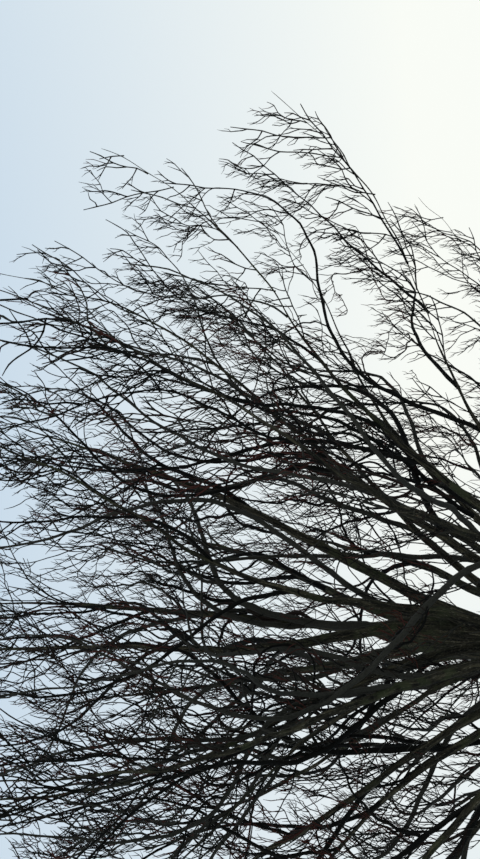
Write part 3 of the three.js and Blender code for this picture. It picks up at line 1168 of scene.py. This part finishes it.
class MeshArrays:
    """Gathers many small closed shapes as arrays, to be joined into one mesh."""

    def __init__(self) -> None:
        """Starts with nothing gathered."""
        self.places: list[np.ndarray] = []
        self.faces: dict[int, list[np.ndarray]] = defaultdict(list)
        self.tints: dict[int, list[np.ndarray]] = defaultdict(list)
        self.count = 0

    def add(self, places: np.ndarray, *parts: tuple[np.ndarray, np.ndarray]) -> None:
        """Gathers shapes.

        Args:
            places: Their vertices, one row each.
            parts: Their faces, one row each and counted from these vertices, and with them the
                number of each face's material.
        """
        for faces, tints in parts:
            corners = faces.shape[1]
            self.faces[corners].append(faces + self.count)
            self.tints[corners].append(tints)
        self.places.append(places)
        self.count += len(places)

    def object(self, name: str, materials: Sequence[Material]) -> Piece:
        """Joins all that was gathered.

        Args:
            name: The piece's name.
            materials: The materials that the tints number.

        Returns:
            The joined mesh's object, at the origin.
        """
        places = np.concatenate(self.places)
        kinds = sorted(self.faces)
        faces = [np.concatenate(self.faces[corners]) for corners in kinds]
        tints = np.concatenate([tints for corners in kinds for tints in self.tints[corners]])
        sizes = np.concatenate([np.full(len(part), part.shape[1]) for part in faces])
        loops = np.concatenate([part.ravel() for part in faces])
        mesh = bpy.data.meshes.new(name)
        mesh.vertices.add(len(places))
        mesh.vertices.foreach_set("co", places.astype(np.float32).ravel())
        mesh.loops.add(len(loops))
        mesh.loops.foreach_set("vertex_index", loops.astype(np.int32))
        mesh.polygons.add(len(sizes))
        mesh.polygons.foreach_set("loop_start", (np.cumsum(sizes) - sizes).astype(np.int32))
        mesh.polygons.foreach_set("material_index", tints.astype(np.int32))
        mesh.polygons.foreach_set("use_smooth", np.ones(len(sizes), bool))
        for material in materials:
            mesh.materials.append(material)
        mesh.update(calc_edges=True)
        mesh.validate()
        piece = bpy.data.objects.new(name, mesh)
        bpy.context.scene.collection.objects.link(piece)
        return piece


def smooth_line(
    points: np.ndarray, radii: np.ndarray, parts: int, knot: float
) -> tuple[np.ndarray, np.ndarray]:
    """Rounds a batch of lines through their nodes by cubics, and swells each node a little.

    Args:
        points: Nodes, as lines by nodes by three.
        radii: Radii, as lines by nodes.
        parts: How many pieces each step is cut into.
        knot: How much thicker a node is, as a share.

    Returns:
        The finer points and radii.
    """
    before = np.concatenate([2 * points[:, :1] - points[:, 1:2], points[:, :-2]], axis=1)
    after = np.concatenate([points[:, 2:], 2 * points[:, -1:] - points[:, -2:-1]], axis=1)
    start, end = points[:, :-1], points[:, 1:]
    fine_points, fine_radii = [], []
    for part in range(parts):
        t = part / parts
        curve = (
            2 * start + (end - before) * t + (2 * before - 5 * start + 4 * end - after) * t * t
            + (3 * start - before - 3 * end + after) * t**3
        )
        fine_points.append(0.5 * curve)
        swell = 1.0 + (knot if part == 0 else 0.0)
        fine_radii.append((radii[:, :-1] * (1 - t) + radii[:, 1:] * t) * swell)
    lines, steps = start.shape[:2]
    stacked = np.stack(fine_points, axis=2).reshape(lines, steps * parts, 3)
    widths = np.stack(fine_radii, axis=2).reshape(lines, steps * parts)
    return (
        np.concatenate([stacked, points[:, -1:]], axis=1),
        np.concatenate([widths, radii[:, -1:]], axis=1),
    )


@dataclass(frozen=True)
class TubeStyle:
    """How the tubes of one level are made."""

    sides: int
    parts: int
    knot: float
    end_share: float


STYLES = {
    Level.BRANCH: TubeStyle(sides=6, parts=2, knot=0.12, end_share=0.7),
    Level.BRANCHLET: TubeStyle(sides=4, parts=2, knot=0.14, end_share=0.6),
    Level.TWIG: TubeStyle(sides=3, parts=1, knot=0.0, end_share=0.5),
    Level.SHOOT: TubeStyle(sides=3, parts=1, knot=0.0, end_share=0.45),
}


def add_tubes(
    arrays: MeshArrays, limbs: Sequence[Limb], tints: Sequence[int], style: TubeStyle
) -> None:
    """Adds a closed tapering tube round each twig.

    Args:
        arrays: Where the tubes are gathered.
        limbs: The twigs.
        tints: The number of each twig's material.
        style: How the tubes are made.
    """
    batches: dict[int, list[int]] = defaultdict(list)
    for index, limb in enumerate(limbs):
        batches[len(limb.points)].append(index)
    for members in batches.values():
        points = np.array([limbs[index].points for index in members])
        radii = np.array([limbs[index].radii for index in members])
        tint = np.array([tints[index] for index in members], dtype=int)
        radii[:, -1] *= style.end_share
        if style.parts > 1:
            points, radii = smooth_line(points, radii, style.parts, style.knot)
        places = ring_corners(points, radii, style.sides)
        count, rings = points.shape[:2]
        base = np.arange(count)[:, None] * rings * style.sides
        corner = np.arange(style.sides)
        following = (corner + 1) % style.sides
        low = base[:, :, None] + np.arange(rings - 1)[:, None] * style.sides
        high = low + style.sides
        walls = np.stack(
            [low + corner, low + following, high + following, high + corner], axis=-1
        ).reshape(-1, 4)
        foot = base + corner[::-1]
        tip = base + (rings - 1) * style.sides + corner
        wall_tint = np.repeat(tint, (rings - 1) * style.sides)
        arrays.add(places, (walls, wall_tint), (foot, tint), (tip, tint))


def off_axis(ways: np.ndarray) -> np.ndarray:
    """Returns for each way, one row each, a fixed direction that isn't close to it."""
    return np.where(np.abs(ways[:, 2:3]) < NEARLY_UPRIGHT, np.array(UP), np.array(LEVEL_WAY))


def ring_corners(points: np.ndarray, radii: np.ndarray, sides: int) -> np.ndarray:
    """The corners of the rings round a batch of lines, with no twist from ring to ring.

    Args:
        points: Nodes, as lines by nodes by three.
        radii: Radii, as lines by nodes.
        sides: How many corners each ring has.

    Returns:
        The corners, one row each.
    """
    ahead = np.empty_like(points)
    ahead[:, 1:-1] = points[:, 2:] - points[:, :-2]
    ahead[:, 0] = points[:, 1] - points[:, 0]
    ahead[:, -1] = points[:, -1] - points[:, -2]
    ahead /= np.linalg.norm(ahead, axis=2, keepdims=True)
    across = []
    carried = off_axis(ahead[:, 0])
    for ring in range(points.shape[1]):
        way = ahead[:, ring]
        carried = carried - way * (carried * way).sum(axis=1, keepdims=True)
        carried = carried / np.linalg.norm(carried, axis=1, keepdims=True)
        across.append(carried)
    side = np.stack(across, axis=1)
    other = np.cross(ahead, side)
    angle = np.arange(sides) * FULL_TURN / sides
    spread = side[:, :, None, :] * np.cos(angle)[:, None]
    spread = spread + other[:, :, None, :] * np.sin(angle)[:, None]
    return (points[:, :, None, :] + spread * radii[:, :, None, None]).reshape(-1, 3)


@dataclass
class Buds:
    """Winter buds: small pointed eggs at the nodes and tips of the finest twigs."""

    length: float = 0.011
    width: float = 0.0044
    tip_length: float = 0.014
    node_share: float = 0.4
    tip_vary: Span = (0.8, 1.25)
    node_vary: Span = (0.75, 1.2)
    seat_turn: float = 2.4
    seat_share: float = 0.6
    lean: float = 0.55
    sunk: float = 0.001
    sides: int = 4
    belly: float = 0.38
    red_every: int = 3
    twigs: list[Limb] = field(default_factory=list)

    def seats(self) -> tuple[np.ndarray, np.ndarray, np.ndarray]:
        """Where the buds sit.

        Returns:
            Their feet, the ways that they point, and their lengths.
        """
        feet, ways, lengths = [], [], []
        for twig in self.twigs:
            dice = Dice(Row.BUDS, *twig.key)
            feet.append(twig.points[-1])
            ways.append(twig.headings[-1])
            lengths.append(self.tip_length * dice.between(*self.tip_vary))
            for node in range(1, len(twig.headings)):
                if dice.draw() > self.node_share:
                    continue
                side = side_of(twig.headings[node], twig.rolls[node] + self.seat_turn)
                feet.append(along(twig.points[node], side, twig.radii[node] * self.seat_share))
                ways.append(unit(along(twig.headings[node], side, self.lean)))
                lengths.append(self.length * dice.between(*self.node_vary))
        return np.array(feet), np.array(ways), np.array(lengths)

    def build(self, name: str, materials: Sequence[Material]) -> Piece:
        """Builds all the buds as one joined mesh.

        Args:
            name: The piece's name.
            materials: The two tints of the bud scales.

        Returns:
            The piece.
        """
        feet, ways, lengths = self.seats()
        side = np.cross(ways, off_axis(ways))
        side /= np.linalg.norm(side, axis=1, keepdims=True)
        other = np.cross(ways, side)
        angle = (np.arange(self.sides) * FULL_TURN / self.sides)[None, :, None]
        radius = (self.width * lengths / self.length)[:, None, None] / 2
        rim = feet[:, None, :] + ways[:, None, :] * (lengths * self.belly)[:, None, None]
        rim = rim + radius * (side[:, None, :] * np.cos(angle) + other[:, None, :] * np.sin(angle))
        foot = feet[:, None, :] - ways[:, None, :] * self.sunk
        tip = feet[:, None, :] + ways[:, None, :] * lengths[:, None, None]
        places = np.concatenate([rim, foot, tip], axis=1).reshape(-1, 3)
        base = np.arange(len(feet))[:, None] * (self.sides + 2)
        corner = base + np.arange(self.sides)
        following = base + (np.arange(self.sides) + 1) % self.sides
        lower_end = np.broadcast_to(base + self.sides, corner.shape)
        upper = np.stack([corner, following, lower_end + 1], axis=-1)
        lower = np.stack([following, corner, lower_end], axis=-1)
        faces = np.concatenate([upper, lower], axis=1).reshape(-1, 3)
        tint = (np.arange(len(feet)) % self.red_every == 0).astype(int)
        arrays = MeshArrays()
        arrays.add(places, (faces, np.repeat(tint, 2 * self.sides)))
        return arrays.object(name, materials)


def declare(piece: Piece, slot: Slot, *nodes: str) -> None:
    """Tells the frame what a piece rides on and what it stands for.

    Args:
        piece: The piece.
        slot: The record's material slot; not used.
        nodes: The solids that it stands for.
    """
    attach(piece, BODY)
    if nodes:
        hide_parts(*nodes)
    LOG.info("%s: %d faces", piece.name, len(piece.data.polygons))


@dataclass
class Trunk:
    """The trunk and the leader above it, in one skin of bark."""

    leader: Limb
    form: TrunkForm
    sides: int = 20
    ground_nodes: int = 3
    ground_rings: int = 12
    righting_rings: int = 4
    crowding: float = 1.35
    rounding: int = 2
    cut_height: float = 0.035
    seed: int = 11
    skin: BarkSkin = BarkSkin()

    def build(self, bark: Material, joints: Sequence[Ring]) -> Piece:
        """Models the trunk, flares its foot and gives it its bark.

        Args:
            bark: The bark's material.
            joints: Where the boughs leave it.

        Returns:
            The piece.
        """
        nodes = len(self.leader.points) - 1
        low = [
            self.ground_nodes * (i / self.ground_rings) ** self.crowding
            for i in range(self.ground_rings)
        ]
        rings = rings_of(self.leader, [*low, *range(self.ground_nodes, nodes + 1)])
        for index, ring in enumerate(rings):
            share = min(1.0, index / (self.ground_rings + self.righting_rings))
            facing = Vector(UP).lerp(ring.facing, share).normalized()
            rings[index] = Ring(ring.centre, facing, self.form.radius_at(ring.centre.z))
        piece = extrude_limb("trunk_bark", rings, self.sides)
        subdivide(piece, self.rounding)
        self.flare(piece)
        self.skin.dress(piece, self.leader, self.seed, joints)
        self.seat(piece)
        piece.data.materials.append(bark)
        declare(piece, Slot.BARK, "trunk", "twigs_top")
        return piece

    def flare(self, piece: Piece) -> None:
        """Pulls the foot out into root buttresses.

        Args:
            piece: The trunk.
        """
        form = self.form
        places = rows_of(piece.data.vertices, "co")
        height = np.clip(1.0 - places[:, 2] / form.flare_height, 0.0, 1.0) ** 2
        angle = np.arctan2(places[:, 0], places[:, 1])
        small = np.cos(form.small_lobes * angle + form.small_lobe_turn)
        lobes = np.cos(form.flare_lobes * angle) + form.small_lobe_share * small
        places[:, :2] *= (1.0 + form.lobe_depth * height * lobes)[:, None]
        move_vertices(piece, places)

    def seat(self, piece: Piece) -> None:
        """Makes the cut at ground level flat again after the relief.

        Args:
            piece: The trunk.
        """
        places = rows_of(piece.data.vertices, "co")
        foot = places[:, 2] < places[:, 2].min() + self.cut_height
        places[foot, 2] = 0.0
        places[:, 2] = np.maximum(places[:, 2], 0.0)
        move_vertices(piece, places)


@dataclass
class Bough:
    """One bough, from inside the trunk to its tip in the mass of twigs that it carries."""

    limb: Limb
    number: int
    sides: int = 8
    rounding: int = 2
    collar: float = 0.38
    collar_reach: float = 0.16
    seed_step: int = 31
    skin: BarkSkin = BarkSkin()

    def exit_ring(self, trunk: Limb, form: TrunkForm) -> Ring:
        """Where the bough comes out of the trunk.

        Args:
            trunk: The trunk's line.
            form: The trunk's sizes.

        Returns:
            The ring of the bough there.
        """
        own = [point[2] for point in self.limb.points]
        heights = [point[2] for point in trunk.points]
        middle_x = np.interp(own, heights, [point[0] for point in trunk.points])
        middle_y = np.interp(own, heights, [point[1] for point in trunk.points])
        for node, point in enumerate(self.limb.points):
            apart = math.hypot(point[0] - middle_x[node], point[1] - middle_y[node])
            if apart > form.radius_at(point[2]):
                return rings_of(self.limb, [node])[0]
        return rings_of(self.limb, [1])[0]

    def build(self, bark: Material, exit_ring: Ring, joints: Sequence[Ring]) -> Piece:
        """Models the bough with a collar where it leaves the trunk.

        Args:
            bark: The bark's material.
            exit_ring: Where it leaves the trunk.
            joints: Where its own branches leave it.

        Returns:
            The piece.
        """
        rings = []
        for ring in rings_of(self.limb, range(len(self.limb.points))):
            past = (ring.centre - exit_ring.centre).length
            inside = (ring.centre - exit_ring.centre).dot(ring.facing) < 0
            swell = 1.0 + self.collar * (1.0 if inside else math.exp(-past / self.collar_reach))
            rings.append(Ring(ring.centre, ring.facing, ring.radius * swell))
        piece = extrude_limb(f"bough_bark_{self.number:02d}", rings, self.sides)
        subdivide(piece, self.rounding)
        self.skin.dress(piece, self.limb, self.seed_step * self.number, joints)
        piece.data.materials.append(bark)
        declare(piece, Slot.BARK, f"bough_{self.number:02d}", f"twigs_{self.number:02d}")
        return piece


BRANCHLET_TINTS = (Tint.DARK, Tint.BROWN, Tint.DARK, Tint.GREY)
INNER_TINTS = (Tint.DARK, Tint.BROWN, Tint.RUSSET, Tint.GREY, Tint.RUSSET, Tint.BROWN)
OUTER_TINTS = (
    Tint.DARK, Tint.BROWN, Tint.DARK, Tint.GREY, Tint.BROWN,
    Tint.DARK, Tint.BROWN, Tint.GREY, Tint.DARK, Tint.RUSSET,
)


@dataclass
class TwigMass:
    """All the twigs that one limb carries, down to last year's shoots, as one joined mesh."""

    limb: Limb
    node: str
    rule: GrowthRule
    low: Vec
    high: Vec
    past_box: float = 0.12
    dark_branches: float = 0.6
    russet_within: float = 0.62
    spray_key: int = 4
    levels: dict[Level, list[Limb]] = field(default_factory=dict)

    def grow(self) -> None:
        """Grows every level of the mass from the one before it."""
        parents = [self.limb]
        for level in (Level.BRANCH, Level.BRANCHLET, Level.TWIG, Level.SHOOT):
            twigs = [twig for parent in parents for twig in self.rule.twigs(parent, level)]
            self.levels[level] = [twig for twig in twigs if self.is_inside(twig)]
            parents = self.levels[level]

    def is_inside(self, twig: Limb) -> bool:
        """Says whether a twig's tip stays in the box of the solids.

        Args:
            twig: The twig.

        Returns:
            Whether its tip is in the box; the finest two levels may pass it a little.
        """
        past = self.past_box if twig.level >= Level.TWIG else 0.0
        sides = zip(self.low, twig.points[-1], self.high)
        return all(low - past <= part <= high + past for low, part, high in sides)

    def joints(self) -> list[Ring]:
        """Returns where the branches leave the limb, with their ways and radii."""
        branches = self.levels[Level.BRANCH]
        return [Ring(Vector(b.points[0]), Vector(b.headings[0]), b.radii[0]) for b in branches]

    def finest(self) -> list[Limb]:
        """Returns the twigs and shoots, which carry the buds."""
        return [*self.levels[Level.TWIG], *self.levels[Level.SHOOT]]

    def tint_of(self, twig: Limb) -> Tint:
        """Picks a twig's tint by one draw for its whole spray, which is that of its branchlet.

        Args:
            twig: The twig.

        Returns:
            The tint, more often russet in the crown's middle.
        """
        # A branchlet's key has spray_key parts, and those of its side twigs start with them.
        spray = Dice(Row.TWIGS, *twig.key[: self.spray_key]).draw()
        if twig.level is Level.BRANCH:
            return Tint.DARK if spray < self.dark_branches else Tint.GREY
        if twig.level is Level.BRANCHLET:
            tints = BRANCHLET_TINTS
        elif self.rule.crown.share(twig.points[0]) < self.russet_within:
            tints = INNER_TINTS
        else:
            tints = OUTER_TINTS
        return tints[int(spray * len(tints))]

    def build(self, materials: Sequence[Material]) -> Piece:
        """Builds the mass.

        Args:
            materials: The tints of twig bark.

        Returns:
            The piece.
        """
        arrays = MeshArrays()
        for level, twigs in self.levels.items():
            add_tubes(arrays, twigs, [self.tint_of(twig) for twig in twigs], STYLES[level])
        piece = arrays.object(self.node.replace("twigs", "twig_spray"), materials)
        declare(piece, Slot.TWIGS, self.node)
        return piece


@dataclass
class Studio:
    """The plain pale floor, the soft light, the pale backdrop and the camera."""

    floor_radius: float = 300.0
    floor_corners: int = 128
    eye_height: float = 1.6
    eye_distance: float = 10.05
    eye_turn: float = 13.0
    eye_pitch: float = 25.0
    focal_pixels: float = 840.0
    long_side_pixels: float = 859.0
    sensor: float = 36.0
    view_depth: float = 1000.0
    floor_drop: float = 0.002
    sky_low: RGBA = shade(0.95, 0.975, 0.925)
    sky_high: RGBA = shade(0.545, 0.68, 0.815)
    fade_start: float = 0.22
    fade_end: float = 0.72
    aside_end: float = -1.0
    aside_share: float = 0.8
    lamp_place: Vec = (-9.0, -14.0, 20.0)
    lamp_aim: Vec = (0.0, 0.0, 4.5)
    lamp_size: float = 16.0
    lamp_energy: float = 900.0

    def build(self) -> None:
        """Builds floor, light, backdrop and camera."""
        self.floor()
        self.backdrop()
        self.light()
        self.camera()

    def floor(self) -> None:
        """Lays the floor under the tree."""
        bpy.ops.object.select_all(action="DESELECT")
        bpy.ops.mesh.primitive_circle_add(
            vertices=self.floor_corners, radius=self.floor_radius, fill_type="NGON",
            location=(0, 0, -self.floor_drop),
        )
        floor = bpy.context.object
        floor.name = "studio_floor"
        bpy.ops.object.transform_apply(location=True, rotation=True, scale=True)
        floor.data.materials.append(FloorFinish().material())

    def backdrop(self) -> None:
        """Lights the world: near white low down, a pale blue-grey overhead and to one side."""
        world = bpy.data.worlds.new("studio_backdrop")
        world.use_nodes = True
        graph = NodeTree(world.node_tree)
        ways = graph.add("ShaderNodeTexCoord").outputs["Generated"]
        parts = graph.add("ShaderNodeSeparateXYZ", {}, {0: ways}).outputs
        fade = graph.add(
            "ShaderNodeMapRange", {},
            {"Value": parts["Z"], "From Min": self.fade_start, "From Max": self.fade_end},
        ).outputs[0]
        aside = graph.add(
            "ShaderNodeMapRange", {},
            {"Value": parts["X"], "From Max": self.aside_end, "To Max": self.aside_share},
        ).outputs[0]
        lower = graph.blend(aside, self.sky_low, self.sky_high)
        background = world.node_tree.nodes["Background"].inputs
        graph.feed(background["Color"], graph.blend(fade, lower, self.sky_high))
        graph.feed(background["Strength"], 1.0)
        bpy.context.scene.world = world
        bpy.context.scene.view_settings.view_transform = "Standard"

    def light(self) -> None:
        """Hangs one large soft light over the tree."""
        bpy.ops.object.light_add(type="AREA", location=self.lamp_place)
        lamp = bpy.context.object
        lamp.name = "soft_light"
        lamp.data.shape = "DISK"
        lamp.data.size = self.lamp_size
        lamp.data.energy = self.lamp_energy
        aim = Vector(self.lamp_aim) - lamp.location
        lamp.rotation_euler = aim.to_track_quat("-Z", "Y").to_euler()

    def camera(self) -> None:
        """Sets the camera where the photograph was taken, turned on its side as it is."""
        turn, pitch = math.radians(self.eye_turn), math.radians(self.eye_pitch)
        away = self.eye_distance
        eye = (away * math.sin(turn), -away * math.cos(turn), self.eye_height)
        bpy.ops.object.camera_add(location=eye)
        camera = bpy.context.object
        camera.name = "photo_camera"
        right = Vector((0.0, math.sin(pitch), -math.cos(pitch)))
        top = Vector((1.0, 0.0, 0.0))
        back = Vector((0.0, -math.cos(pitch), -math.sin(pitch)))
        camera.rotation_mode = "QUATERNION"
        camera.rotation_quaternion = Matrix((right, top, back)).transposed().to_quaternion()
        camera.data.lens = self.focal_pixels * self.sensor / self.long_side_pixels
        camera.data.sensor_width = self.sensor
        camera.data.clip_end = self.view_depth
        bpy.context.scene.camera = camera


def main() -> None:
    """Builds the studio and the tree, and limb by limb."""
    logging.basicConfig(level=logging.INFO, format="%(name)s %(message)s")
    rule = GrowthRule()
    limbs = rule.limbs()
    leader = limbs[-1]
    boughs = [Bough(limb, number) for number, limb in enumerate(limbs[:-1], 1)]
    nodes = [*(f"twigs_{bough.number:02d}" for bough in boughs), "twigs_top"]
    masses = [
        TwigMass(limb, node, rule, tuple(SOLID_LOW), tuple(SOLID_HIGH))
        for limb, node in zip(limbs, nodes)
    ]
    for mass in masses:
        mass.grow()
    bark = BarkFinish().material()
    twig_tints = [finish.material() for finish in TWIG_FINISHES]
    bud_tints = [finish.material() for finish in BUD_FINISHES]
    exits = [bough.exit_ring(leader, rule.trunk) for bough in boughs]
    Trunk(leader, rule.trunk).build(bark, exits)
    for bough, exit_ring, mass in zip(boughs, exits, masses):
        bough.build(bark, exit_ring, mass.joints())
    for mass in masses:
        mass.build(twig_tints)
    for number, group in enumerate(np.array_split(np.arange(len(masses)), BUD_GROUPS), 1):
        twigs = [twig for index in group for twig in masses[index].finest()]
        buds = Buds(twigs=twigs).build(f"buds_{number}", bud_tints)
        declare(buds, Slot.TWIGS)
    Studio().build()
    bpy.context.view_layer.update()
    LOG.info("solids %s %s", list(SOLID_LOW), list(SOLID_HIGH))
    meshes = [piece.data for piece in bpy.context.scene.objects if piece.type == "MESH"]
    triangles = sum(len(mesh.loops) - 2 * len(mesh.polygons) for mesh in meshes)
    LOG.info("triangles in the scene: %d", triangles)


if __name__ == "__main__":
    main()
